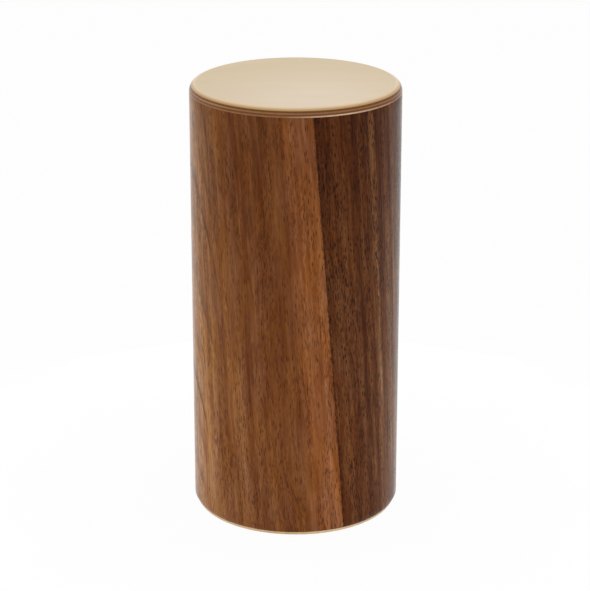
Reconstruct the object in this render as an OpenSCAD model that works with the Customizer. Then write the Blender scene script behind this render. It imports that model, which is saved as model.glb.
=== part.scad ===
// Hand-held percussion shaker: a tube of bent plies under two walnut leaves, closed by
// a rounded plywood lid and a plywood base let into the bore, with loose shot inside.
// Millimetres. The origin is the centre of the foot, +Z points up the tube and the
// front of the shaker faces -Y. Angles round the tube count from the front to the right.

/* [Body] */
// Outside diameter of the tube and its lid
body_d = 60; // [50:1:75]
// Length of the tube without its lid
tube_len = 124.1; // [90:0.1:160]
// Width of the chamfer round the foot, which runs through the walnut into the next ply
foot_chamfer_w = 0.95; // [0.6:0.05:1.5]
// Height of the chamfer round the foot
foot_chamfer_h = 1.9; // [0.6:0.1:3]

/* [Tube plies] */
// Thickness of the walnut leaves
leaf_t = 0.5; // [0.4:0.05:0.8]
// Thickness of the cross ply behind the leaves
cross_t = 1.2; // [0.8:0.1:2]
// Thickness of the ply that lines the bore
lining_t = 0.8; // [0.5:0.1:1.5]
// Glue line between two bent plies
glue_t = 0.05; // [0.03:0.01:0.1]
// Gap left where the two ends of a bent strip meet
butt_gap = 0.2; // [0.1:0.05:0.5]

/* [Walnut leaves] */
// Angle of the front seam at half height
seam_angle = 18.5; // [-45:0.5:60]
// Lean of both seams to the left on their way up
seam_lean = 4.4; // [0:0.1:8]
// Angle round the tube that the dark leaf covers
dark_leaf_angle = 140; // [100:1:145]

/* [Plywood ends] */
// Thickness of the face ply, on the outside of the lid and of the base
face_ply_t = 0.8; // [0.5:0.05:1.2]
// Thickness of each ply behind the face ply
inner_ply_t = 0.425; // [0.3:0.025:0.7]
// Radius of the lid's rounded upper edge
lid_round = 2.3; // [0.5:0.1:3]
// Glue line between the base and the bore
base_fit = 0.1; // [0.05:0.01:0.3]

/* [Shot] */
// Diameter of one ball of shot
ball_d = 3; // [2:0.1:4]
// Gap between neighbouring balls as they lie in rings
ball_gap = 0.5; // [0.3:0.05:0.8]
// Least gap between the shot and the wood round it
shot_clear = 0.3; // [0.2:0.05:0.6]

/* [Hidden] */
// Plies of a plywood end, counted from its outer face inwards
BOARD_PLIES = ["face_ply", "outer_cross_ply", "core_ply", "inner_cross_ply", "back_ply"];
// Each ring of balls holds this many more than the ring inside it, one more in each portion
RING_STEP = 6;

body_r = body_d / 2;
cross_r = body_r - leaf_t - glue_t;
lining_r = cross_r - cross_t - glue_t;
bore_r = lining_r - lining_t;

// Both ends are cut from the same board
function ply_t(index) = index == 0 ? face_ply_t : inner_ply_t;
function ply_depth(index) = index == 0 ? 0 : face_ply_t + (index - 1) * inner_ply_t;
board_t = ply_depth(len(BOARD_PLIES));
lid_edge_r = min(lid_round, board_t);
base_r = bore_r - base_fit;

// Seams of the two bent strips, at the back and on the left, away from the leaves' seams
cross_butt_angle = 180;
lining_butt_angle = 270;

// Tools that cut right through reach past the whole shaker
reach = body_d + tube_len + board_t;
// Cuts run this far past a face that they open
overrun = 1;

ball_r = ball_d / 2;
ball_pitch = ball_d + ball_gap;
ball_rings = floor((bore_r - shot_clear - ball_r) / ball_pitch);
shot_z = board_t + shot_clear + ball_r;

walnut_brown = "#7a4a2b";
walnut_dark = "#4e2f1f";
birch_pale = "#dccdb4";
birch_brown = "#8a6440";
lining_tan = "#c8a67c";
steel_grey = "#b5b8bc";

$fa = 3;
$fs = 0.4;

// Turns what points along +X to an angle round the tube
module at_angle(angle) {
  rotate([0, 0, angle - 90])
    children();
}

// Half section of the whole wall, with the chamfer at its foot
module wall_section() {
  polygon([
    [bore_r, 0],
    [body_r - foot_chamfer_w, 0],
    [body_r, foot_chamfer_h],
    [body_r, tube_len],
    [bore_r, tube_len]
  ]);
}

// One ply of the wall, from its outer radius inwards
module wall_ply(outer_r, thickness) {
  rotate_extrude()
    intersection() {
      wall_section();
      translate([outer_r - thickness, 0])
        square([thickness, tube_len]);
    }
}

// Everything to the right of a leaning seam, cut square to the tube's surface
module right_of_seam(angle) {
  translate([0, 0, tube_len / 2])
    at_angle(angle)
      rotate([seam_lean, 0, 0])
        translate([-reach, 0, -reach])
          cube([2 * reach, reach, 2 * reach]);
}

// The part of the tube that the dark leaf wraps
module dark_side() {
  difference() {
    right_of_seam(seam_angle);
    right_of_seam(seam_angle + dark_leaf_angle);
  }
}

// The thin gap where the ends of a bent strip meet
module butt_joint(angle) {
  at_angle(angle)
    translate([0, -butt_gap / 2, -overrun])
      cube([body_r, butt_gap, tube_len + 2 * overrun]);
}

module light_walnut_leaf() {
  color(walnut_brown)
    difference() {
      wall_ply(body_r, leaf_t);
      dark_side();
    }
}

module dark_walnut_leaf() {
  color(walnut_dark)
    intersection() {
      wall_ply(body_r, leaf_t);
      dark_side();
    }
}

module tube_cross_ply() {
  color(birch_pale)
    difference() {
      wall_ply(cross_r, cross_t);
      butt_joint(cross_butt_angle);
    }
}

module tube_lining_ply() {
  color(lining_tan)
    difference() {
      wall_ply(lining_r, lining_t);
      butt_joint(lining_butt_angle);
    }
}

// Half section of the lid, which rounds over towards its upper face
module lid_section() {
  difference() {
    square([body_r, board_t]);
    translate([body_r - lid_edge_r, board_t - lid_edge_r])
      difference() {
        square(lid_edge_r + overrun);
        circle(r = lid_edge_r);
      }
  }
}

// One ply of the lid, cut from the rounded section so that its edge shows on the round
module lid_ply(index) {
  color(ply_color(index))
    translate([0, 0, tube_len])
      rotate_extrude()
        intersection() {
          lid_section();
          translate([0, board_t - ply_depth(index) - ply_t(index)])
            square([body_r, ply_t(index)]);
        }
}

// One ply of the base, from its outer face upwards into the bore
module base_ply(index) {
  color(ply_color(index))
    translate([0, 0, ply_depth(index)])
      cylinder(r = base_r, h = ply_t(index));
}

// Plies alternate between long grain and the browner cross grain
function ply_color(index) = index % 2 == 0 ? birch_pale : birch_brown;

// The balls of one sixth of the floor, in rings, with the middle ball in the first portion
module shot_portion(portion) {
  sector = 360 / RING_STEP;
  color(steel_grey)
    translate([0, 0, shot_z]) {
      if (portion == 1)
        sphere(r = ball_r);
      for (ring = [1:ball_rings], place = [0:ring - 1])
        at_angle(sector * (portion - 1 + place / ring))
          translate([ring * ball_pitch, 0, 0])
            sphere(r = ball_r);
    }
}

for (index = [0:len(BOARD_PLIES) - 1]) {
  lid_ply(index);
  base_ply(index);
}
light_walnut_leaf();
dark_walnut_leaf();
tube_cross_ply();
tube_lining_ply();
for (portion = [1:RING_STEP]) {
  shot_portion(portion);
}
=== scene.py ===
import math

import bpy
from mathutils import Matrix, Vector


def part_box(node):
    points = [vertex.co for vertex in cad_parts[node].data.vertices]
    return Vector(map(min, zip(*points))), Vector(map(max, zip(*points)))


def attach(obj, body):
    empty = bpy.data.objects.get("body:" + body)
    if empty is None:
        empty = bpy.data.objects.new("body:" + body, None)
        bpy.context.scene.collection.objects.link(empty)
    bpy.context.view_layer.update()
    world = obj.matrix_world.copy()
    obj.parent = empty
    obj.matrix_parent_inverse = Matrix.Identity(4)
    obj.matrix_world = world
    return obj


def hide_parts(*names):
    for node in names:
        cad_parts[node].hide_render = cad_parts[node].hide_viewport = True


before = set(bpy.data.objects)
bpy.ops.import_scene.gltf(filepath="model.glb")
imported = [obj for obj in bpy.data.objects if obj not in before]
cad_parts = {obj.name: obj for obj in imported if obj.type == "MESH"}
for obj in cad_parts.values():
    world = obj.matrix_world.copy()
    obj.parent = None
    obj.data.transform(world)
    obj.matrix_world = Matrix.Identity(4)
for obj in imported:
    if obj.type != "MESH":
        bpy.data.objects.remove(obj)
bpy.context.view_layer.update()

MM = 0.001

# Sizes of the shaker that a box of its solids does not give, as in the part's source
LEAF_T = 0.5 * MM
CROSS_T = 1.2 * MM
LINING_T = 0.8 * MM
BUTT_GAP = 0.2 * MM
LID_ROUND = 2.3 * MM
FOOT_CHAMFER_W = 0.95 * MM
FOOT_CHAMFER_H = 1.9 * MM
SEAM_ANGLE = math.radians(18.5)
SEAM_LEAN = math.radians(4.4)
DARK_LEAF_ANGLE = math.radians(140)
CROSS_BUTT_ANGLE = math.radians(180)
LINING_BUTT_ANGLE = math.radians(270)

# Sizes read from the solids
BODY_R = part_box("lid_back_ply")[1].x
TUBE_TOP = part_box("tube_cross_ply")[1].z
CROSS_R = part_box("tube_cross_ply")[1].x
LINING_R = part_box("tube_lining_ply")[1].x
BASE_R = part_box("base_face_ply")[1].x
LID_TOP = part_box("lid_face_ply")[1].z
FACE_PLY_T = LID_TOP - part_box("lid_face_ply")[0].z
LIGHT_LEAF_ANGLE = 2 * math.pi - DARK_LEAF_ANGLE
HALF_HEIGHT = TUBE_TOP / 2
CHAMFER_SLOPE = FOOT_CHAMFER_H / FOOT_CHAMFER_W

# Columns of faces round the tube: both leaves end on a whole column
COLUMNS = 288
COLUMN_ANGLE = 2 * math.pi / COLUMNS
HALF_COLUMN = COLUMN_ANGLE / 2
# Rows of faces up a leaf, each turned a little further along the lean of the seams
LEAF_ROWS = 48
# Steps of the lid's rounded edge across one ply
ROUND_STEPS = 10
# Broken edge of a sanded ply or leaf, which leaves a fine groove at each joint
EDGE_BREAK = 0.04 * MM
EDGE_BREAK_STEPS = 2
BREAK_FROM_ANGLE = math.radians(40)
SMOOTH_TO_ANGLE = math.radians(35)
# Points nearer than this are one point
TOUCH = 0.001 * MM


# Camera

IMAGE_WIDTH = 590
FOCAL_PIXELS = 2258.5
SENSOR = 36
CAMERA_PLACE = (-0.19 * MM, -617.18 * MM, 284.96 * MM)
CAMERA_PITCH = math.radians(19.81)
NEAREST_SEEN = 1 * MM


def set_camera():
    """The camera in front of the shaker, tilted down."""
    bpy.ops.object.camera_add(
        location=CAMERA_PLACE, rotation=(math.pi / 2 - CAMERA_PITCH, 0, 0)
    )
    camera = bpy.context.object
    camera.name = "photo_view"
    camera.data.sensor_fit = "HORIZONTAL"
    camera.data.sensor_width = SENSOR
    camera.data.lens = FOCAL_PIXELS / IMAGE_WIDTH * SENSOR
    camera.data.clip_start = NEAREST_SEEN
    bpy.context.scene.camera = camera
    bpy.context.scene.view_settings.view_transform = "Standard"


# Node helpers

WHITE = (1.0, 1.0, 1.0, 1.0)
# The curve by which a screen turns its levels into light, with a straight toe
FULL_LEVEL = 255
TOE_END = 0.04045
TOE_SLOPE = 12.92
CURVE_SHIFT = 0.055
CURVE_POWER = 2.4
# Sockets of the Mix node that take and give colours
MIX_AMOUNT = 0
MIX_FIRST = 6
MIX_SECOND = 7
MIX_RESULT = 2


def paint(red, green, blue):
    """A colour as a screen shows it, from 0 to 255, made ready for a socket."""
    shares = [value / FULL_LEVEL for value in (red, green, blue)]
    linear = [
        share / TOE_SLOPE
        if share <= TOE_END
        else ((share + CURVE_SHIFT) / (1 + CURVE_SHIFT)) ** CURVE_POWER
        for share in shares
    ]
    return (*linear, 1.0)


def add_node(tree, kind, inputs, **settings):
    """A shader node with its settings, each socket linked or set to a constant."""
    node = tree.nodes.new("ShaderNode" + kind)
    for name, value in settings.items():
        setattr(node, name, value)
    for socket, value in inputs.items():
        if isinstance(value, bpy.types.NodeSocket):
            tree.links.new(value, node.inputs[socket])
        else:
            node.inputs[socket].default_value = value
    return node


def calc(tree, operation, first, second=0.0, third=0.0):
    inputs = {0: first, 1: second, 2: third}
    return add_node(tree, "Math", inputs, operation=operation).outputs[0]


def fade(tree, value, low, high, at_low=0.0, at_high=1.0):
    """Goes smoothly from one amount to another while the value goes from low to high."""
    inputs = {
        "Value": value,
        "From Min": low,
        "From Max": high,
        "To Min": at_low,
        "To Max": at_high,
    }
    return add_node(tree, "MapRange", inputs, interpolation_type="SMOOTHSTEP").outputs[0]


def stretch(tree, place, factors):
    """Multiplies a place or a colour, axis by axis."""
    inputs = {0: place, 1: factors}
    return add_node(tree, "VectorMath", inputs, operation="MULTIPLY").outputs[0]


def cloud(tree, place, waves, detail, roughness=0.5):
    """Soft noise from 0 to 1, with so many waves in each unit of place along each axis."""
    inputs = {
        "Vector": stretch(tree, place, waves),
        "Scale": 1.0,
        "Detail": detail,
        "Roughness": roughness,
    }
    return add_node(tree, "TexNoise", inputs).outputs[0]


def push(tree, amount, reach):
    """Turns noise into a push to either side, half the reach each way."""
    return calc(tree, "MULTIPLY_ADD", amount, reach, -reach / 2)


def colour_bands(tree, amount, stops):
    """Goes through (position, colour) stops while the amount goes from 0 to 1."""
    node = add_node(tree, "ValToRGB", {"Fac": amount})
    node.color_ramp.interpolation = "EASE"
    elements = node.color_ramp.elements
    while len(elements) < len(stops):
        elements.new(1.0)
    for element, (position, colour) in zip(elements, stops):
        element.position = position
        element.color = colour
    return node.outputs[0]


def mix_colour(tree, amount, first, second, mode="MIX"):
    inputs = {MIX_AMOUNT: amount, MIX_FIRST: first, MIX_SECOND: second}
    node = add_node(tree, "Mix", inputs, data_type="RGBA", blend_type=mode)
    return node.outputs[MIX_RESULT]


def scale_colour(tree, colour, factor):
    """Makes a colour lighter or darker by one factor."""
    inputs = {0: colour, "Scale": factor}
    return add_node(tree, "VectorMath", inputs, operation="SCALE").outputs[0]


def new_finish(name):
    """An empty material, ready for its nodes."""
    finish = bpy.data.materials.new(name)
    finish.use_nodes = True
    finish.node_tree.nodes.clear()
    return finish


def close_finish(tree, colour, roughness, height, depth, **constants):
    """Puts the shader at the end of a finish, with a bump of the given depth in metres."""
    bump = add_node(tree, "Bump", {"Height": height, "Strength": 1.0, "Distance": depth})
    shader = add_node(
        tree,
        "BsdfPrincipled",
        {"Base Color": colour, "Roughness": roughness, "Normal": bump.outputs[0]},
    )
    for socket, value in constants.items():
        shader.inputs[socket.replace("_", " ")].default_value = value
    output = add_node(tree, "OutputMaterial", {})
    tree.links.new(shader.outputs[0], output.inputs["Surface"])


# Walnut

# Tones of the light leaf
HONEY = paint(136, 81, 43)
NUT = paint(116, 68, 33)
DEEP_NUT = paint(107, 60, 28)
RUSSET = paint(129, 80, 42)
# Straw is partly the wood's pale tone and partly painted sheen, for the band where the front view's
# left limb falls
STRAW_AND_SHEEN = paint(164, 112, 63)
LIGHT_PORE = paint(64, 30, 10)
# Tones of the dark leaf
CHOCOLATE = paint(100, 57, 28)
DEEP_CHOCOLATE = paint(84, 45, 20)
PALE_CHOCOLATE = paint(128, 85, 51)
WARM_CHOCOLATE = paint(101, 57, 18)
DARK_PORE = paint(28, 11, 4)
# Millimetres from the front seam, and the tone of the wood there
LIGHT_BANDS = (
    (0, HONEY),
    (7.5, HONEY),
    (10.5, NUT),
    (15, DEEP_NUT),
    (20, NUT),
    (25, NUT),
    (28, RUSSET),
    (32, RUSSET),
    # This straw band lies at the left limb of the front view: partly pale wood, partly painted
    # sheen of that limb
    (46, STRAW_AND_SHEEN),
    (54, STRAW_AND_SHEEN),
    (64, NUT),
    (76, RUSSET),
    (92, HONEY),
    (106, NUT),
    (115, RUSSET),
)
DARK_BANDS = (
    (0, CHOCOLATE),
    (9, CHOCOLATE),
    (11, DEEP_CHOCOLATE),
    (13, CHOCOLATE),
    (15, CHOCOLATE),
    (17, PALE_CHOCOLATE),
    (19, CHOCOLATE),
    (21, CHOCOLATE),
    (23, PALE_CHOCOLATE),
    (25, WARM_CHOCOLATE),
    (27, PALE_CHOCOLATE),
    (30, WARM_CHOCOLATE),
    (36, CHOCOLATE),
    (43, DEEP_CHOCOLATE),
    (54, DEEP_CHOCOLATE),
    (64, CHOCOLATE),
    (73, DEEP_CHOCOLATE),
)
# Figures of growth rings, in millimetres from the seam and up the tube. Each ring has the height
# at which its arch would close without its tip, the depth of its soft side, and its strength.
# The tip draws the tops of all arches up to a point.
OUTER_FIGURE = dict(
    middle=66,
    half_width=36,
    bend=24,
    tip_at=71,
    tip=22,
    tip_reach=17,
    rings=((147, 10, 0.45), (128, 9, 0.4), (111, 6, 0.75), (96, 11, 0.35), (80, 9, 0.45)),
)
INNER_FIGURE = dict(
    middle=66,
    half_width=25.5,
    bend=10,
    tip_at=70,
    tip=20,
    tip_reach=15,
    rings=((60, 10, 0.4), (45, 5, 0.85), (32, 9, 0.4), (18, 7, 0.5), (2, 9, 0.45)),
)
DARK_FIGURE = dict(
    middle=47,
    half_width=19,
    bend=22,
    tip_at=48,
    tip=16,
    tip_reach=12,
    rings=((140, 9, 0.4), (116, 7, 0.5), (93, 9, 0.4), (76, 6, 0.5), (54, 9, 0.4), (30, 7, 0.5)),
)
# What differs from leaf to leaf: angles in radians, lengths in millimetres, the rest as shares.
# A pair gives the amount where pores or ticks are sparse and where they crowd.
LIGHT_LEAF = dict(
    middle=SEAM_ANGLE - LIGHT_LEAF_ANGLE / 2,
    angle=LIGHT_LEAF_ANGLE,
    seam_side=1.0,
    bands=LIGHT_BANDS,
    figures=(OUTER_FIGURE, INNER_FIGURE),
    pore_colour=LIGHT_PORE,
    contrast=0.27,
    fibre=0.14,
    patches=0.14,
    blue_drift=0.24,
    streak_length=45.0,
    sway=2.4,
    ticks=(0.05, 0.75),
    tick_gap=0.62,
    tick_length=3.4,
    lines=0.3,
    lines_between=(34.0, 42.0),
    pores=(0.15, 0.8),
    flecks=0.1,
    fleck_length=2.4,
    upper=0.98,
    seam_line=0.75,
    seam_reach=0.7,
)
DARK_LEAF = dict(
    middle=SEAM_ANGLE + DARK_LEAF_ANGLE / 2,
    angle=DARK_LEAF_ANGLE,
    seam_side=-1.0,
    bands=DARK_BANDS,
    figures=(DARK_FIGURE,),
    pore_colour=DARK_PORE,
    contrast=0.36,
    fibre=0.28,
    patches=0.16,
    blue_drift=0.15,
    streak_length=95.0,
    sway=1.0,
    ticks=(0.38, 0.9),
    tick_gap=0.8,
    tick_length=2.8,
    lines=0.8,
    lines_between=(12.0, 20.0),
    pores=(0.3, 1.0),
    flecks=0.3,
    fleck_length=1.6,
    upper=0.66,
    seam_line=0.5,
    seam_reach=1.4,
)

# Noise in the walnut: waves in each millimetre across and along the grain, and how fine it gets
GRAIN_WANDER = dict(waves=(0.06, 0.02, 1.0), detail=2.0)
RAGGED_BANDS = dict(waves=(0.7, 0.05, 1.0), detail=3.0, roughness=0.6)
HUE_DRIFT = dict(waves=(0.22, 0.045, 1.0), detail=3.0)
RING_SWAY = dict(waves=(0.12, 0.04, 1.0), detail=3.0)
RING_JAGS = dict(waves=(1.5, 0.1, 1.0), detail=3.0, roughness=0.6)
RING_BREAKS = dict(waves=(0.3, 0.06, 1.0), detail=3.0)
RAGGED_GLUE = dict(waves=(0.0, 0.55, 1.0), detail=4.0, roughness=0.7)
PORE_CROWDS = dict(waves=(0.3, 0.03, 1.0), detail=2.0)
TICK_CROWDS = dict(waves=(0.6, 0.06, 1.0), detail=3.0)
STREAK_ROUGHNESS = 0.6
# How far in millimetres the noise pushes a band's border and a growth ring
RAGGED_REACH = 3.6
RING_SWAY_REACH = 12.0
RING_JAG_REACH = 5.0
# Streaks and patches, in millimetres across and along the grain
BROAD_STREAKS = dict(across=2.6, detail=3.0)
MIDDLE_STREAKS = dict(across=0.95, along=17.0, detail=3.0)
FIBRES = dict(across=0.32, along=5.0, detail=2.0)
PATCHES = dict(across=2.4, along=8.0, detail=2.0)
# Contrast of the broad streaks, as a multiple of the leaf's own
BROAD_CONTRAST = 1.4
# Dashes: the cell that each lies in, in millimetres, its reach in the cell and the share of cells
LONG_PORES = dict(across=0.42, along=5.5, reach=0.3, share=0.6)
SHORT_PORES = dict(across=0.34, along=2.2, reach=0.34, share=0.5)
DEEP_PORES = dict(across=0.95, along=8.0, reach=0.2, share=0.5)
LONG_LINES = dict(across=1.4, along=66.0, reach=0.25, share=0.8)
TICKS = dict(reach=0.31, share=0.45, core=0.55)
FLECKS = dict(across=0.45, reach=0.36, share=0.45)
# Levels of noise between which a change of the wood comes in
STREAKS_BETWEEN = (0.22, 0.78)
HUE_BETWEEN = (0.3, 0.7)
PORE_CROWDS_BETWEEN = (0.35, 0.65)
TICK_CROWDS_BETWEEN = (0.4, 0.62)
GLUE_BETWEEN = (0.4, 0.7)
# Growth rings: width of the sharp side in millimetres, gaps along a ring, and its fading ends
RING_SHARP_SIDE = 1.0
RING_GAPS = dict(low=0.35, high=0.6, at_low=0.3, at_high=1.0)
RING_ENDS = dict(low=0.84, high=0.98, at_low=1.0, at_high=0.0)
RING_LEAST = 1e-6
# The glue line at the seam: its least width in millimetres, and the share that is fully dark
GLUE_LEAST = 0.03
GLUE_CORE = 0.4
# Heights in millimetres between which the wood grows darker towards the top of the tube
UPPER_BETWEEN = (66.0, 124.0)
# Red in the yellowish and in the pinkish parts of the wood
YELLOWISH_RED = 1.045
PINKISH_RED = 0.975
# Powers of red, green and blue in a shade, because darker wood is redder
SHADE_POWERS = dict(X=0.65, Y=1.0, Z=1.4)
# Lacquer on the walnut
LACQUER_ROUGHNESS = 0.06
FIBRE_ROUGHNESS = 0.12
PORE_ROUGHNESS = 0.12
FIBRE_RELIEF = 0.5
PORE_RELIEF = -1.0
WALNUT_RELIEF = 0.012 * MM
WALNUT_LACQUER = dict(
    Specular_IOR_Level=0.06,
    Sheen_Weight=0.05,
    Sheen_Roughness=0.3,
    Sheen_Tint=(1.0, 0.88, 0.74, 1.0),
)


def walnut_places(tree, leaf_middle, half_width, seam_side):
    """Millimetres from the front seam, up the tube, and both as one place on the leaf."""
    place = add_node(tree, "TexCoord", {}).outputs["Object"]
    turned = add_node(tree, "Mapping", {"Vector": place, "Rotation": (0, 0, -leaf_middle)})
    parts = add_node(tree, "SeparateXYZ", {"Vector": turned.outputs[0]})
    to_front = calc(tree, "MULTIPLY", parts.outputs["Y"], -1.0)
    angle = calc(tree, "ARCTAN2", parts.outputs["X"], to_front)
    arc = calc(tree, "MULTIPLY", angle, BODY_R / MM)
    height = calc(tree, "MULTIPLY", parts.outputs["Z"], 1 / MM)
    above_half = calc(tree, "SUBTRACT", height, HALF_HEIGHT / MM)
    leaned = calc(tree, "MULTIPLY_ADD", above_half, math.tan(SEAM_LEAN), arc)
    from_seam = calc(tree, "MULTIPLY_ADD", leaned, -seam_side, half_width)
    inputs = {"X": from_seam, "Y": height, "Z": half_width}
    leaf_place = add_node(tree, "CombineXYZ", inputs).outputs[0]
    return from_seam, height, leaf_place


def streaks(tree, grain_place, across, along, detail, contrast):
    """Light and dark streaks along the grain, as a factor around one."""
    waves = (1 / across, 1 / along, 1.0)
    amount = cloud(tree, grain_place, waves, detail, STREAK_ROUGHNESS)
    return fade(tree, amount, *STREAKS_BETWEEN, 1 - contrast, 1 + contrast)


def pores(tree, grain_place, across, along, reach, share, core=0.4):
    """Short dashes along the grain, one in each cell for a share of the cells."""
    cells = stretch(tree, grain_place, (1 / across, 1 / along, 1.0))
    inputs = {"Vector": cells, "Scale": 1.0, "Randomness": 1.0}
    node = add_node(tree, "TexVoronoi", inputs, voronoi_dimensions="2D")
    dash = fade(tree, node.outputs["Distance"], reach * core, reach, 1.0, 0.0)
    lot = add_node(tree, "SeparateColor", {"Color": node.outputs["Color"]}).outputs[0]
    kept = calc(tree, "LESS_THAN", lot, share)
    return calc(tree, "MULTIPLY", dash, kept)


def band_tone(tree, leaf, width, grain_at, grain_place):
    """Bands of tone with ragged borders, which drift a little to yellow and to pink."""
    ragged = push(tree, cloud(tree, grain_place, **RAGGED_BANDS), RAGGED_REACH)
    band_at = calc(tree, "ADD", grain_at, ragged)
    stops = [(at / width, colour) for at, colour in leaf["bands"]]
    tone = colour_bands(tree, calc(tree, "DIVIDE", band_at, width), stops)
    yellowish = (YELLOWISH_RED, 1.0, 1 - leaf["blue_drift"], 1.0)
    pinkish = (PINKISH_RED, 1.0, 1 + leaf["blue_drift"], 1.0)
    drift = fade(tree, cloud(tree, grain_place, **HUE_DRIFT), *HUE_BETWEEN)
    hue = mix_colour(tree, drift, yellowish, pinkish)
    return mix_colour(tree, 1.0, tone, hue, "MULTIPLY")


def streak_shade(tree, leaf, height, leaf_place, grain_place, fibre):
    """All streaks, patches and flecks of a leaf as one factor, darker towards the top of the tube.
    """
    contrast = leaf["contrast"]
    broad = streaks(
        tree,
        grain_place,
        along=leaf["streak_length"],
        contrast=contrast * BROAD_CONTRAST,
        **BROAD_STREAKS,
    )
    middle = streaks(tree, grain_place, contrast=contrast, **MIDDLE_STREAKS)
    patches = streaks(tree, grain_place, contrast=leaf["patches"], **PATCHES)
    coarse = calc(tree, "MULTIPLY", broad, patches)
    fine = calc(tree, "MULTIPLY", middle, fibre)
    shade = calc(tree, "MULTIPLY", coarse, fine)
    upper = fade(tree, height, *UPPER_BETWEEN, 1.0, leaf["upper"])
    shade = calc(tree, "MULTIPLY", shade, upper)
    flecks = pores(tree, leaf_place, along=leaf["fleck_length"], **FLECKS)
    lighter = calc(tree, "MULTIPLY_ADD", flecks, leaf["flecks"], 1.0)
    return calc(tree, "MULTIPLY", shade, lighter)


def shade_wood(tree, tone, shade):
    """Makes wood lighter or darker: darker wood is redder, because blue falls faster than red."""
    factors = {axis: calc(tree, "POWER", shade, power) for axis, power in SHADE_POWERS.items()}
    return stretch(tree, tone, add_node(tree, "CombineXYZ", factors).outputs[0])


def growth_rings(tree, grain_place, grain_at, height, figure):
    """Dark growth lines in arches that rise to a tip, each with a soft upper side."""
    off_middle = calc(tree, "ABSOLUTE", calc(tree, "SUBTRACT", grain_at, figure["middle"]))
    share = calc(tree, "DIVIDE", off_middle, figure["half_width"])
    left_over = calc(tree, "SUBTRACT", 1.0, calc(tree, "POWER", share, 2.0))
    fall = calc(tree, "LOGARITHM", calc(tree, "MAXIMUM", left_over, RING_LEAST), math.e)
    level = calc(tree, "MULTIPLY_ADD", fall, -figure["bend"], height)
    off_tip = calc(tree, "ABSOLUTE", calc(tree, "SUBTRACT", grain_at, figure["tip_at"]))
    tip = fade(tree, off_tip, 0.0, figure["tip_reach"], figure["tip"], 0.0)
    level = calc(tree, "SUBTRACT", level, tip)
    sway = push(tree, cloud(tree, grain_place, **RING_SWAY), RING_SWAY_REACH)
    level = calc(tree, "ADD", level, sway)
    jags = push(tree, cloud(tree, grain_place, **RING_JAGS), RING_JAG_REACH)
    level = calc(tree, "ADD", level, jags)
    lines = 0.0
    for top, depth, strength in figure["rings"]:
        past = calc(tree, "SUBTRACT", level, top)
        sharp_side = fade(tree, past, -RING_SHARP_SIDE, 0.0, 0.0, strength)
        soft_side = fade(tree, past, 0.0, depth, 1.0, 0.0)
        lines = calc(tree, "MAXIMUM", lines, calc(tree, "MULTIPLY", sharp_side, soft_side))
    gaps = fade(tree, cloud(tree, grain_place, **RING_BREAKS), **RING_GAPS)
    kept = calc(tree, "MULTIPLY", gaps, fade(tree, share, **RING_ENDS))
    return calc(tree, "MULTIPLY", lines, kept)


def glue_line(tree, leaf, from_seam, leaf_place):
    """The dark line at the front seam, now wider and now thinner."""
    ragged = cloud(tree, leaf_place, **RAGGED_GLUE)
    width = fade(tree, ragged, *GLUE_BETWEEN, GLUE_LEAST, leaf["seam_reach"])
    share = calc(tree, "DIVIDE", from_seam, width)
    return fade(tree, share, GLUE_CORE, 1.0, leaf["seam_line"], 0.0)


def grain_dashes(tree, leaf, grain_at, leaf_place, grain_place):
    """Pores, ticks and long dark lines in the grain, each crowded in some places."""
    long_pores = pores(tree, grain_place, **LONG_PORES)
    short_pores = pores(tree, grain_place, **SHORT_PORES)
    deep_pores = pores(tree, grain_place, **DEEP_PORES)
    thin = calc(tree, "MAXIMUM", long_pores, calc(tree, "MAXIMUM", short_pores, deep_pores))
    crowds = cloud(tree, grain_place, **PORE_CROWDS)
    thin = calc(tree, "MULTIPLY", thin, fade(tree, crowds, *PORE_CROWDS_BETWEEN, *leaf["pores"]))
    ticks = pores(
        tree, grain_place, across=leaf["tick_gap"], along=leaf["tick_length"], **TICKS
    )
    crowds = cloud(tree, leaf_place, **TICK_CROWDS)
    ticks = calc(tree, "MULTIPLY", ticks, fade(tree, crowds, *TICK_CROWDS_BETWEEN, *leaf["ticks"]))
    lines = pores(tree, grain_place, **LONG_LINES)
    line_strength = fade(tree, grain_at, *leaf["lines_between"], 0.0, leaf["lines"])
    lines = calc(tree, "MULTIPLY", lines, line_strength)
    return calc(tree, "MAXIMUM", calc(tree, "MAXIMUM", thin, lines), ticks)


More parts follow.
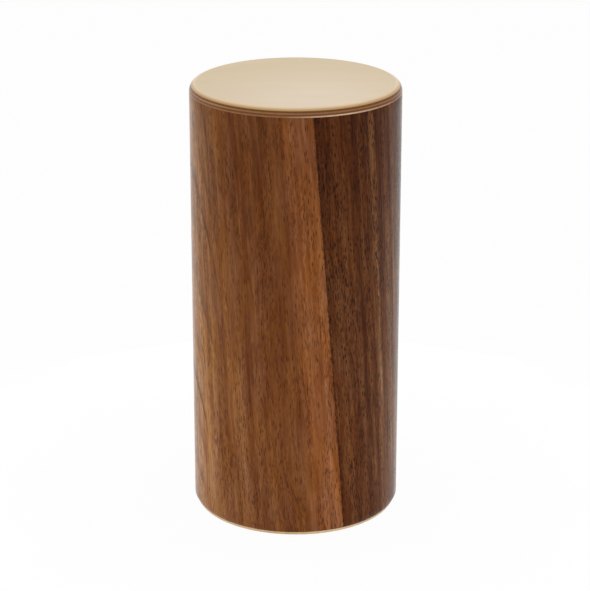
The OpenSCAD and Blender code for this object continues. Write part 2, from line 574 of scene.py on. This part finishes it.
def walnut_finish(name, leaf):
    """Lacquered walnut whose grain runs up the tube along the lean of the seams."""
    width = leaf["angle"] * BODY_R / MM
    pore_colour = leaf["pore_colour"]
    finish = new_finish(name)
    tree = finish.node_tree
    from_seam, height, leaf_place = walnut_places(
        tree, leaf["middle"], width / 2, leaf["seam_side"]
    )
    sway = push(tree, cloud(tree, leaf_place, **GRAIN_WANDER), leaf["sway"])
    grain_at = calc(tree, "ADD", from_seam, sway)
    inputs = {"X": grain_at, "Y": height, "Z": width}
    grain_place = add_node(tree, "CombineXYZ", inputs).outputs[0]

    fibre = streaks(tree, grain_place, contrast=leaf["fibre"], **FIBRES)
    tone = band_tone(tree, leaf, width, grain_at, grain_place)
    shade = streak_shade(tree, leaf, height, leaf_place, grain_place, fibre)
    tone = shade_wood(tree, tone, shade)
    for figure in leaf["figures"]:
        rings = growth_rings(tree, grain_place, grain_at, height, figure)
        tone = mix_colour(tree, rings, tone, pore_colour)
    tone = mix_colour(tree, glue_line(tree, leaf, from_seam, leaf_place), tone, pore_colour)
    dashes = grain_dashes(tree, leaf, grain_at, leaf_place, grain_place)
    tone = mix_colour(tree, dashes, tone, pore_colour)

    roughness = calc(tree, "MULTIPLY_ADD", fibre, FIBRE_ROUGHNESS, LACQUER_ROUGHNESS)
    roughness = calc(tree, "MULTIPLY_ADD", dashes, PORE_ROUGHNESS, roughness)
    fibre_relief = calc(tree, "MULTIPLY", fibre, FIBRE_RELIEF)
    relief = calc(tree, "MULTIPLY_ADD", dashes, PORE_RELIEF, fibre_relief)
    close_finish(tree, tone, roughness, relief, WALNUT_RELIEF, **WALNUT_LACQUER)
    return finish


# Birch

# Angles from the front to the right at which a ply's edge runs along its grain
BACK_GRAIN = math.radians(28)
CORE_GRAIN = math.radians(-58)
CROSS_GRAIN = math.radians(114)
# Edges of the plies: pale where the edge runs along the grain, deep at the ends of the grain
CORE_BIRCH = dict(pale=paint(172, 128, 92), deep=paint(154, 107, 70), grain=CORE_GRAIN)
BACK_BIRCH = dict(pale=paint(220, 184, 150), deep=paint(152, 106, 70), grain=BACK_GRAIN)
BROWN_BIRCH = dict(pale=paint(134, 85, 45), deep=paint(120, 74, 36), grain=CROSS_GRAIN)
TUBE_BIRCH = dict(pale=paint(230, 200, 156), deep=paint(222, 190, 144), grain=BACK_GRAIN)
LINING_WOOD = dict(pale=paint(206, 170, 126), deep=paint(186, 146, 102), grain=CROSS_GRAIN)
# Middle of a painted highlight on the lid's face ply, a little to the right of the middle of its
# front half: the face is painted palest there
PAINTED_HIGHLIGHT_MIDDLE = (6 * MM, -20 * MM, LID_TOP)
HIGHLIGHT_TONE = paint(234, 214, 187)
OUTER_TONE = paint(221, 200, 163)
# How far from there the outer tone comes in, and how far flames push that border
HIGHLIGHT_BETWEEN = (12 * MM, 52 * MM)
FLAME_REACH = 16 * MM
# Tones of the face ply's rounded edge, by the share of its thickness that is cut away: the tan of
# the cut grain, with a painted highlight where the rounding starts and painted shade as it turns
# down
FACE_EDGE_TONES_WITH_PAINTED_LIGHT = (
    (0.0, paint(242, 216, 181)),
    (0.25, paint(230, 199, 156)),
    (0.6, paint(204, 165, 113)),
    (1.0, paint(182, 144, 92)),
)
FACE_EDGE_BETWEEN = (0.0, 0.12)
# Noise in the birch: waves in each metre along the three axes, and how fine it gets
FLAMES = dict(waves=(28.0, 160.0, 1.0), detail=3.0)
FACE_FIBRES = dict(waves=(120.0, 2600.0, 900.0), detail=3.0, roughness=0.6)
EDGE_LENGTHS = dict(waves=(90.0, 90.0, 300.0), detail=3.0)
EDGE_FIBRES = dict(waves=(900.0, 900.0, 2500.0), detail=3.0, roughness=0.6)
# How much the noise shifts the border between edge grain and end grain, and where it lies
EDGE_LENGTH_SHARE = 0.3
ALONG_GRAIN_BETWEEN = (0.96, 1.16)
# Shades that flames and fibres give the birch
FLAME_SHADE = dict(low=0.25, high=0.75, at_low=0.96, at_high=1.02)
FACE_FIBRE_SHADE = dict(low=0.2, high=0.8, at_low=0.97, at_high=1.02)
EDGE_FIBRE_SHADE = dict(low=0.2, high=0.8, at_low=0.84, at_high=1.1)
# Lacquer on the birch: dull on the flat face, smoother on the rounded and the sanded edges
FACE_ROUGHNESS = dict(low=0.0, high=0.3, at_low=0.4, at_high=0.14)
EDGE_ROUGHNESS = 0.1
BIRCH_FIBRE_ROUGHNESS = 0.12
BIRCH_RELIEF = 0.012 * MM
FACE_GLOSS = 0.25
EDGE_GLOSS = 0.12


def birch_face_finish(name, outer_face, inwards):
    """A pale face ply with a painted highlight near the front of the lid's face, which turns tan
    where a rounded edge cuts down into its grain, with painted light on that edge.
    """
    finish = new_finish(name)
    tree = finish.node_tree
    place = add_node(tree, "TexCoord", {}).outputs["Object"]
    parts = add_node(tree, "SeparateXYZ", {"Vector": place})
    height = calc(tree, "SUBTRACT", parts.outputs["Z"], outer_face)
    cut = calc(tree, "MULTIPLY", height, inwards / FACE_PLY_T)
    flames = cloud(tree, place, **FLAMES)
    fibres = cloud(tree, place, **FACE_FIBRES)
    # Painted highlight: the face is painted paler round a point near its front right, fading out to
    # the outer tone
    inputs = {0: place, 1: PAINTED_HIGHLIGHT_MIDDLE}
    off_highlight = add_node(tree, "VectorMath", inputs, operation="DISTANCE").outputs["Value"]
    off_highlight = calc(tree, "MULTIPLY_ADD", flames, FLAME_REACH, off_highlight)
    face = mix_colour(tree, fade(tree, off_highlight, *HIGHLIGHT_BETWEEN), HIGHLIGHT_TONE, OUTER_TONE)
    # The rounded edge: tan of the cut grain, with a painted highlight at its top and painted shade
    # lower down
    edge = colour_bands(tree, cut, FACE_EDGE_TONES_WITH_PAINTED_LIGHT)
    tone = mix_colour(tree, fade(tree, cut, *FACE_EDGE_BETWEEN), face, edge)
    flame_shade = fade(tree, flames, **FLAME_SHADE)
    fibre_shade = fade(tree, fibres, **FACE_FIBRE_SHADE)
    tone = scale_colour(tree, tone, calc(tree, "MULTIPLY", flame_shade, fibre_shade))
    smoothness = fade(tree, cut, **FACE_ROUGHNESS)
    roughness = calc(tree, "MULTIPLY_ADD", fibres, BIRCH_FIBRE_ROUGHNESS, smoothness)
    close_finish(tree, tone, roughness, fibres, BIRCH_RELIEF, Specular_IOR_Level=FACE_GLOSS)
    return finish


def birch_edge_finish(name, pale, deep, grain):
    """The edge of an inner ply: pale where the edge runs along the grain, deeper at its ends."""
    finish = new_finish(name)
    tree = finish.node_tree
    place = add_node(tree, "TexCoord", {}).outputs["Object"]
    inputs = {0: place, 1: (math.sin(grain), -math.cos(grain), 0)}
    beside_grain = add_node(tree, "VectorMath", inputs, operation="DOT_PRODUCT").outputs["Value"]
    beside_grain = calc(tree, "ABSOLUTE", calc(tree, "DIVIDE", beside_grain, BODY_R))
    lengths = cloud(tree, place, **EDGE_LENGTHS)
    fibres = cloud(tree, place, **EDGE_FIBRES)
    along = calc(tree, "MULTIPLY_ADD", lengths, EDGE_LENGTH_SHARE, beside_grain)
    tone = mix_colour(tree, fade(tree, along, *ALONG_GRAIN_BETWEEN), deep, pale)
    tone = scale_colour(tree, tone, fade(tree, fibres, **EDGE_FIBRE_SHADE))
    roughness = calc(tree, "MULTIPLY_ADD", fibres, BIRCH_FIBRE_ROUGHNESS, EDGE_ROUGHNESS)
    close_finish(tree, tone, roughness, fibres, BIRCH_RELIEF, Specular_IOR_Level=EDGE_GLOSS)
    return finish


# Steel

# Noise on the steel, in waves in each metre
RUBS = dict(waves=(1400.0, 1400.0, 1400.0), detail=4.0, roughness=0.6)
STAINS = dict(waves=(220.0, 220.0, 220.0), detail=2.0)
STAINS_BETWEEN = (0.35, 0.7)
BRIGHT_STEEL = paint(186, 189, 193)
DULL_STEEL = paint(150, 150, 150)
STEEL_ROUGHNESS = 0.18
RUB_ROUGHNESS = 0.2
STEEL_RELIEF = 0.01 * MM


def steel_finish():
    """Bright tumbled steel, dulled in spots."""
    finish = new_finish("steel_shot")
    tree = finish.node_tree
    place = add_node(tree, "TexCoord", {}).outputs["Object"]
    rubs = cloud(tree, place, **RUBS)
    stains = fade(tree, cloud(tree, place, **STAINS), *STAINS_BETWEEN)
    tone = mix_colour(tree, stains, BRIGHT_STEEL, DULL_STEEL)
    roughness = calc(tree, "MULTIPLY_ADD", rubs, RUB_ROUGHNESS, STEEL_ROUGHNESS)
    close_finish(tree, tone, roughness, rubs, STEEL_RELIEF, Metallic=1.0)
    return finish


# Modelling helpers


def start_circle(radius, height):
    """A bare circle round the tube's axis, left open in edit mode."""
    bpy.ops.object.select_all(action="DESELECT")
    bpy.ops.mesh.primitive_circle_add(vertices=COLUMNS, radius=radius)
    bpy.ops.object.mode_set(mode="EDIT")
    bpy.ops.mesh.select_mode(type="VERT")
    bpy.ops.transform.translate(value=(0, 0, height))
    return bpy.context.object


def pick(piece, wanted):
    """Selects the points of a piece for which wanted says yes, and nothing else."""
    bpy.ops.object.mode_set(mode="EDIT")
    bpy.ops.mesh.select_all(action="DESELECT")
    bpy.ops.object.mode_set(mode="OBJECT")
    for point in piece.data.vertices:
        point.select = wanted(point.co)
    bpy.ops.object.mode_set(mode="EDIT")
    bpy.ops.mesh.select_mode(type="VERT")


def turn(angle):
    """Turns what is selected round the tube's axis, from the front to the right."""
    bpy.ops.transform.rotate(value=-angle, orient_axis="Z", center_override=(0, 0, 0))


def angle_of(point):
    """Angle of a point from the front to the right, up to a full turn."""
    past_front = math.atan2(point.x, -point.y) + HALF_COLUMN
    return past_front % (2 * math.pi) - HALF_COLUMN


def radius_of(point):
    return math.hypot(point.x, point.y)


def draw_up(rise):
    """Draws what is selected out by a step up the tube."""
    bpy.ops.mesh.extrude_region_move(TRANSFORM_OT_translate={"value": (0, 0, rise)})


def draw_out(section):
    """Draws the selected ring out along a half section of (radius, height) points."""
    for (radius, height), (next_radius, next_height) in zip(section, section[1:]):
        draw_up(next_height - height)
        growth = next_radius / radius
        bpy.ops.transform.resize(value=(growth, growth, 1), center_override=(0, 0, 0))


def join_up():
    """Merges doubled points and turns all faces outwards."""
    bpy.ops.mesh.select_all(action="SELECT")
    bpy.ops.mesh.remove_doubles(threshold=TOUCH)
    bpy.ops.mesh.normals_make_consistent(inside=False)
    bpy.ops.object.mode_set(mode="OBJECT")


def break_edges(piece):
    """Breaks the sharp edges and smooths what is round."""
    bevel = piece.modifiers.new("broken_edges", "BEVEL")
    bevel.width = EDGE_BREAK
    bevel.segments = EDGE_BREAK_STEPS
    bevel.limit_method = "ANGLE"
    bevel.angle_limit = BREAK_FROM_ANGLE
    bpy.ops.object.modifier_apply(modifier=bevel.name)
    bpy.ops.object.mode_set(mode="EDIT")
    bpy.ops.mesh.select_all(action="SELECT")
    bpy.ops.mesh.remove_doubles(threshold=TOUCH)
    bpy.ops.object.mode_set(mode="OBJECT")
    bpy.ops.object.shade_smooth_by_angle(angle=SMOOTH_TO_ANGLE)


def put_on_shaker(piece, node, finish):
    """Lets a finished piece stand for its solid on the shell."""
    piece.name = node + "_made"
    piece.data.name = piece.name
    piece.data.materials.append(finish)
    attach(piece, "shell")
    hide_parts(node)


# Pieces

# A wall grows from the outside of the tube inwards
WALL_INWARDS = -1
# Every open ring of edges is closed, however many sides it has
ANY_SIDES = 0


def round_edge_section(low, high):
    """Half section of a lid ply between two heights, along the lid's rounded edge."""
    middle = LID_TOP - LID_ROUND
    section = [(BODY_R, low)] if low < middle else []
    first = math.asin(max(low - middle, 0) / LID_ROUND)
    last = math.asin(min((high - middle) / LID_ROUND, 1))
    for step in range(ROUND_STEPS + 1):
        angle = first + (last - first) * step / ROUND_STEPS
        radius = BODY_R - LID_ROUND + LID_ROUND * math.cos(angle)
        section.append((radius, middle + LID_ROUND * math.sin(angle)))
    return section


def disc(section):
    """A solid disc: a ring drawn out along its edge and filled at both ends."""
    piece = start_circle(*section[0])
    draw_out(section)
    for radius, height in (section[0], section[-1]):
        pick(
            piece,
            lambda point: abs(point.z - height) < TOUCH and radius_of(point) < radius + TOUCH,
        )
        bpy.ops.mesh.edge_face_add()
    join_up()
    break_edges(piece)
    return piece


def lid_ply(node):
    """One ply of the lid, as its solid lies, with its share of the rounded edge."""
    low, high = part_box(node)
    return disc(round_edge_section(low.z, high.z))


def base_ply(node):
    """One ply of the base, as its solid lies, with a straight edge."""
    low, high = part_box(node)
    return disc([(BASE_R, low.z), (BASE_R, high.z)])


def seam_shift(height):
    """How far the lean turns a seam at this height from its place at half height."""
    return -math.asin((height - HALF_HEIGHT) * math.tan(SEAM_LEAN) / BODY_R)


def walnut_leaf(first_seam, leaf_angle):
    """A leaf from one seam to the next: an arc drawn up along the lean, then thickened."""
    foot = FOOT_CHAMFER_H - LEAF_T * CHAMFER_SLOPE
    piece = start_circle(BODY_R, foot)
    pick(piece, lambda point: angle_of(point) > leaf_angle + HALF_COLUMN)
    bpy.ops.mesh.delete(type="VERT")
    bpy.ops.mesh.select_all(action="SELECT")
    turn(first_seam + seam_shift(foot))
    for row in range(LEAF_ROWS):
        height = foot + (TUBE_TOP - foot) * row / LEAF_ROWS
        next_height = foot + (TUBE_TOP - foot) * (row + 1) / LEAF_ROWS
        draw_up(next_height - height)
        turn(seam_shift(next_height) - seam_shift(height))
    bpy.ops.mesh.select_all(action="SELECT")
    bpy.ops.mesh.flip_normals()
    bpy.ops.object.mode_set(mode="OBJECT")
    wall = piece.modifiers.new("leaf_thickness", "SOLIDIFY")
    wall.thickness = LEAF_T
    wall.offset = WALL_INWARDS
    wall.use_even_offset = True
    bpy.ops.object.modifier_apply(modifier=wall.name)
    pick(
        piece,
        lambda point: point.z < foot + TOUCH and radius_of(point) > BODY_R - LEAF_T / 2,
    )
    bpy.ops.transform.translate(value=(0, 0, FOOT_CHAMFER_H - foot))
    bpy.ops.object.mode_set(mode="OBJECT")
    break_edges(piece)
    return piece


def bent_strip(outer_r, thickness, butt_angle):
    """A strip bent to a ring whose two ends almost meet, cut off by the chamfer at its foot."""
    inner_r = outer_r - thickness
    chamfer_r = BODY_R - FOOT_CHAMFER_W
    section = [(inner_r, 0)]
    if chamfer_r < outer_r:
        section += [(chamfer_r, 0), (outer_r, (outer_r - chamfer_r) * CHAMFER_SLOPE)]
    else:
        section += [(outer_r, 0)]
    section += [(outer_r, TUBE_TOP), (inner_r, TUBE_TOP), (inner_r, 0)]
    piece = start_circle(inner_r, 0)
    pick(piece, lambda point: angle_of(point) < COLUMN_ANGLE + HALF_COLUMN)
    bpy.ops.mesh.delete(type="EDGE")
    half_gap = math.asin(BUTT_GAP / 2 / outer_r)
    pick(piece, lambda point: angle_of(point) < HALF_COLUMN)
    turn(HALF_COLUMN - half_gap)
    pick(piece, lambda point: HALF_COLUMN < angle_of(point) < COLUMN_ANGLE + HALF_COLUMN)
    turn(half_gap - HALF_COLUMN)
    bpy.ops.mesh.select_all(action="SELECT")
    turn(butt_angle - HALF_COLUMN)
    draw_out(section)
    bpy.ops.mesh.select_all(action="SELECT")
    bpy.ops.mesh.remove_doubles(threshold=TOUCH)
    bpy.ops.mesh.fill_holes(sides=ANY_SIDES)
    join_up()
    break_edges(piece)
    return piece


# Floor and light

FLOOR_SIZE = 8.0
# The floor lies a hair under the foot, so that no two faces share a plane
FLOOR_DROP = 0.05 * MM
FLOOR_GREY = (0.9, 0.9, 0.9, 1.0)
# Share of plain white in the floor as it is seen: the rest keeps the shadow
FLOOR_WHITE = 0.95
WORLD_LEVEL = 0.66
# Places and sizes of the lamps in metres, and their power in watts
OVERHEAD_PLACE = (0, 0, 1.1)
OVERHEAD_SIZE = 1.0
OVERHEAD_POWER = 2.6
REFLECTORS = 8
# The ring of reflectors starts half a step from the front
FIRST_REFLECTOR = 0.5
REFLECTOR_RING = 130 * MM
REFLECTOR_HEIGHT = 10 * MM
REFLECTOR_SIZE = 60 * MM
REFLECTOR_POWER = 0.019


def seen_rays(tree):
    """One for the rays that see the background: straight, in a reflection or through glass."""
    path = add_node(tree, "LightPath", {})
    seen = calc(tree, "MAXIMUM", path.outputs["Is Camera Ray"], path.outputs["Is Glossy Ray"])
    return calc(tree, "MAXIMUM", seen, path.outputs["Is Transmission Ray"])


def set_floor():
    """A white floor that keeps a faint shadow of the shaker."""
    bpy.ops.object.select_all(action="DESELECT")
    bpy.ops.mesh.primitive_plane_add(size=FLOOR_SIZE, location=(0, 0, -FLOOR_DROP))
    floor = bpy.context.object
    floor.name = "floor"
    finish = new_finish("white_floor")
    tree = finish.node_tree
    matt = add_node(tree, "BsdfDiffuse", {"Color": FLOOR_GREY})
    white = add_node(tree, "Emission", {"Color": WHITE, "Strength": 1.0})
    share = calc(tree, "MULTIPLY", seen_rays(tree), FLOOR_WHITE)
    inputs = {0: share, 1: matt.outputs[0], 2: white.outputs[0]}
    both = add_node(tree, "MixShader", inputs)
    output = add_node(tree, "OutputMaterial", {})
    tree.links.new(both.outputs[0], output.inputs["Surface"])
    floor.data.materials.append(finish)


def set_world():
    """A white studio all round, dimmer as a light than it is seen."""
    world = bpy.data.worlds.new("white_studio")
    world.use_nodes = True
    bpy.context.scene.world = world
    tree = world.node_tree
    tree.nodes.clear()
    level = calc(tree, "MULTIPLY_ADD", seen_rays(tree), 1.0 - WORLD_LEVEL, WORLD_LEVEL)
    sky = add_node(tree, "Background", {"Color": WHITE, "Strength": level})
    output = add_node(tree, "OutputWorld", {})
    tree.links.new(sky.outputs[0], output.inputs["Surface"])


def soft_lamp(name, place, target, size, power):
    """A round lamp that lights the shaker and shows nowhere itself."""
    bpy.ops.object.light_add(type="AREA", location=place)
    lamp = bpy.context.object
    lamp.name = name
    lamp.data.shape = "DISK"
    lamp.data.size = size
    lamp.data.energy = power
    lamp.visible_camera = False
    lamp.visible_glossy = False
    toward = Vector(target) - lamp.location
    lamp.rotation_euler = toward.to_track_quat("-Z", "Y").to_euler()


def set_lamps():
    """One wide lamp overhead, and a ring of low reflectors that lift the foot of the tube."""
    soft_lamp("overhead_lamp", OVERHEAD_PLACE, (0, 0, 0), OVERHEAD_SIZE, OVERHEAD_POWER)
    target = (0, 0, REFLECTOR_HEIGHT)
    for step in range(REFLECTORS):
        angle = 2 * math.pi * (step + FIRST_REFLECTOR) / REFLECTORS
        place = (
            REFLECTOR_RING * math.sin(angle),
            -REFLECTOR_RING * math.cos(angle),
            REFLECTOR_HEIGHT,
        )
        soft_lamp(f"low_reflector_{step + 1}", place, target, REFLECTOR_SIZE, REFLECTOR_POWER)


# Build

set_camera()

light_walnut = walnut_finish("light_walnut", LIGHT_LEAF)
dark_walnut = walnut_finish("dark_walnut", DARK_LEAF)
lid_face = birch_face_finish("lid_face_birch", outer_face=LID_TOP, inwards=-1.0)
base_face = birch_face_finish("base_face_birch", outer_face=0.0, inwards=1.0)
core_birch = birch_edge_finish("core_birch", **CORE_BIRCH)
back_birch = birch_edge_finish("back_birch", **BACK_BIRCH)
brown_birch = birch_edge_finish("brown_birch", **BROWN_BIRCH)
tube_birch = birch_edge_finish("tube_birch", **TUBE_BIRCH)
lining_wood = birch_edge_finish("lining_wood", **LINING_WOOD)
steel = steel_finish()

ply_finishes = {
    "outer_cross_ply": ("brown_birch", brown_birch),
    "core_ply": ("pale_birch", core_birch),
    "inner_cross_ply": ("brown_birch", brown_birch),
    "back_ply": ("pale_birch", back_birch),
}
put_on_shaker(lid_ply("lid_face_ply"), "lid_face_ply", lid_face)
put_on_shaker(base_ply("base_face_ply"), "base_face_ply", base_face)
for ply, (slot, finish) in ply_finishes.items():
    put_on_shaker(lid_ply("lid_" + ply), "lid_" + ply, finish)
    put_on_shaker(base_ply("base_" + ply), "base_" + ply, finish)

put_on_shaker(
    walnut_leaf(SEAM_ANGLE - LIGHT_LEAF_ANGLE, LIGHT_LEAF_ANGLE),
    "light_walnut_leaf",
    light_walnut,
)
put_on_shaker(
    walnut_leaf(SEAM_ANGLE, DARK_LEAF_ANGLE), "dark_walnut_leaf", dark_walnut
)
put_on_shaker(
    bent_strip(CROSS_R, CROSS_T, CROSS_BUTT_ANGLE), "tube_cross_ply", tube_birch
)
put_on_shaker(
    bent_strip(LINING_R, LINING_T, LINING_BUTT_ANGLE),
    "tube_lining_ply",
    lining_wood,
)

for name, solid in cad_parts.items():
    if name.startswith("shot_portion"):
        solid.material_slots[0].material = steel

set_floor()
set_world()
set_lamps()
